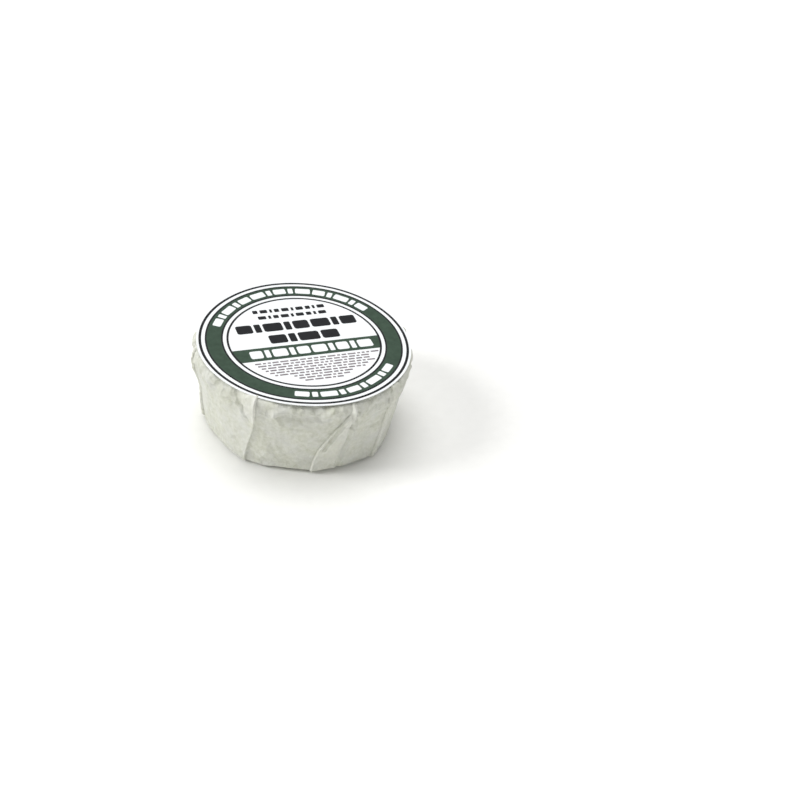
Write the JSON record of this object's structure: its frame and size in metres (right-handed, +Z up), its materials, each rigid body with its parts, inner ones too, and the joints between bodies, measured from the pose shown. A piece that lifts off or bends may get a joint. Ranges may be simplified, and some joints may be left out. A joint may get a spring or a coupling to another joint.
{
  "type": "shaving soap puck",
  "caption": "Round shaving soap bar folded into a pleated tissue wrapper, sealed on top by a round printed paper label; the wrapper opens as folding petals.",
  "frame": {"origin": "centre of the flat base, on the surface that the puck stands on", "axes": "+Z up through the label; +X along the label's print lines, from their left to their right; +Y towards the top of the print"},
  "size_m": [0.0624, 0.0624, 0.0267],
  "materials": {
    "soap": "matte, waxy, marbled pale green",
    "wrapper_tissue": "matte thin creased tissue",
    "adhesive": "dry tacky film",
    "label_paper": "satin coated paper",
    "label_print": "satin ink"
  },
  "bodies": {
    "puck_and_base": {"soap_puck": "soap", "wrapper_base": "wrapper_tissue"},
    "side_1": {"wrapper_side_1": "wrapper_tissue"},
    "side_2": {"wrapper_side_2": "wrapper_tissue"},
    "side_3": {"wrapper_side_3": "wrapper_tissue"},
    "side_4": {"wrapper_side_4": "wrapper_tissue"},
    "side_5": {"wrapper_side_5": "wrapper_tissue"},
    "side_6": {"wrapper_side_6": "wrapper_tissue"},
    "side_7": {"wrapper_side_7": "wrapper_tissue"},
    "side_8": {"wrapper_side_8": "wrapper_tissue"},
    "leaf_1": {"wrapper_leaf_1": "wrapper_tissue"},
    "leaf_2": {"wrapper_leaf_2": "wrapper_tissue"},
    "leaf_3": {"wrapper_leaf_3": "wrapper_tissue"},
    "leaf_4": {"wrapper_leaf_4": "wrapper_tissue"},
    "leaf_5": {"wrapper_leaf_5": "wrapper_tissue"},
    "leaf_6": {"wrapper_leaf_6": "wrapper_tissue"},
    "leaf_7": {"wrapper_leaf_7": "wrapper_tissue"},
    "leaf_8": {"wrapper_leaf_8": "wrapper_tissue"},
    "label": {"label_adhesive": "adhesive", "label_face": "label_paper"}
  },
  "joints": [
    {"name": "label_lift", "type": "slide", "parent": "puck_and_base", "child": "label", "axis": [0, 0, 1], "range_m": [0, 0.08]},
    {"name": "side_fold_1", "type": "hinge", "parent": "puck_and_base", "child": "side_1", "pos_m": [0.02582, 0.01069, 0.0026], "axis": [-0.3827, 0.9239, 0], "range_deg": [0, 80]},
    {"name": "side_fold_2", "type": "hinge", "parent": "puck_and_base", "child": "side_2", "pos_m": [0.01069, 0.02582, 0.0026], "axis": [-0.9239, 0.3827, 0], "range_deg": [0, 80]},
    {"name": "side_fold_3", "type": "hinge", "parent": "puck_and_base", "child": "side_3", "pos_m": [-0.01069, 0.02582, 0.0026], "axis": [-0.9239, -0.3827, 0], "range_deg": [0, 80]},
    {"name": "side_fold_4", "type": "hinge", "parent": "puck_and_base", "child": "side_4", "pos_m": [-0.02582, 0.01069, 0.0026], "axis": [-0.3827, -0.9239, 0], "range_deg": [0, 80]},
    {"name": "side_fold_5", "type": "hinge", "parent": "puck_and_base", "child": "side_5", "pos_m": [-0.02582, -0.01069, 0.0026], "axis": [0.3827, -0.9239, 0], "range_deg": [0, 80]},
    {"name": "side_fold_6", "type": "hinge", "parent": "puck_and_base", "child": "side_6", "pos_m": [-0.01069, -0.02582, 0.0026], "axis": [0.9239, -0.3827, 0], "range_deg": [0, 80]},
    {"name": "side_fold_7", "type": "hinge", "parent": "puck_and_base", "child": "side_7", "pos_m": [0.01069, -0.02582, 0.0026], "axis": [0.9239, 0.3827, 0], "range_deg": [0, 80]},
    {"name": "side_fold_8", "type": "hinge", "parent": "puck_and_base", "child": "side_8", "pos_m": [0.02582, -0.01069, 0.0026], "axis": [0.3827, 0.9239, 0], "range_deg": [0, 80]},
    {"name": "leaf_fold_1", "type": "hinge", "parent": "side_1", "child": "leaf_1", "pos_m": [0.02857, 0.01183, 0.0237], "axis": [-0.3827, 0.9239, 0], "range_deg": [0, 90]},
    {"name": "leaf_fold_2", "type": "hinge", "parent": "side_2", "child": "leaf_2", "pos_m": [0.01183, 0.02857, 0.0237], "axis": [-0.9239, 0.3827, 0], "range_deg": [0, 90]},
    {"name": "leaf_fold_3", "type": "hinge", "parent": "side_3", "child": "leaf_3", "pos_m": [-0.01183, 0.02857, 0.0237], "axis": [-0.9239, -0.3827, 0], "range_deg": [0, 90]},
    {"name": "leaf_fold_4", "type": "hinge", "parent": "side_4", "child": "leaf_4", "pos_m": [-0.02857, 0.01183, 0.0237], "axis": [-0.3827, -0.9239, 0], "range_deg": [0, 90]},
    {"name": "leaf_fold_5", "type": "hinge", "parent": "side_5", "child": "leaf_5", "pos_m": [-0.02857, -0.01183, 0.0237], "axis": [0.3827, -0.9239, 0], "range_deg": [0, 90]},
    {"name": "leaf_fold_6", "type": "hinge", "parent": "side_6", "child": "leaf_6", "pos_m": [-0.01183, -0.02857, 0.0237], "axis": [0.9239, -0.3827, 0], "range_deg": [0, 90]},
    {"name": "leaf_fold_7", "type": "hinge", "parent": "side_7", "child": "leaf_7", "pos_m": [0.01183, -0.02857, 0.0237], "axis": [0.9239, 0.3827, 0], "range_deg": [0, 90]},
    {"name": "leaf_fold_8", "type": "hinge", "parent": "side_8", "child": "leaf_8", "pos_m": [0.02857, -0.01183, 0.0237], "axis": [0.3827, 0.9239, 0], "range_deg": [0, 90]}
  ],
  "couplings": [
    {"joint": "side_fold_1", "follows": "label_lift", "rad_per_m": 17.45},
    {"joint": "side_fold_2", "follows": "label_lift", "rad_per_m": 17.45},
    {"joint": "side_fold_3", "follows": "label_lift", "rad_per_m": 17.45},
    {"joint": "side_fold_4", "follows": "label_lift", "rad_per_m": 17.45},
    {"joint": "side_fold_5", "follows": "label_lift", "rad_per_m": 17.45},
    {"joint": "side_fold_6", "follows": "label_lift", "rad_per_m": 17.45},
    {"joint": "side_fold_7", "follows": "label_lift", "rad_per_m": 17.45},
    {"joint": "side_fold_8", "follows": "label_lift", "rad_per_m": 17.45},
    {"joint": "leaf_fold_1", "follows": "label_lift", "rad_per_m": 19.63},
    {"joint": "leaf_fold_2", "follows": "label_lift", "rad_per_m": 19.63},
    {"joint": "leaf_fold_3", "follows": "label_lift", "rad_per_m": 19.63},
    {"joint": "leaf_fold_4", "follows": "label_lift", "rad_per_m": 19.63},
    {"joint": "leaf_fold_5", "follows": "label_lift", "rad_per_m": 19.63},
    {"joint": "leaf_fold_6", "follows": "label_lift", "rad_per_m": 19.63},
    {"joint": "leaf_fold_7", "follows": "label_lift", "rad_per_m": 19.63},
    {"joint": "leaf_fold_8", "follows": "label_lift", "rad_per_m": 19.63}
  ]
}
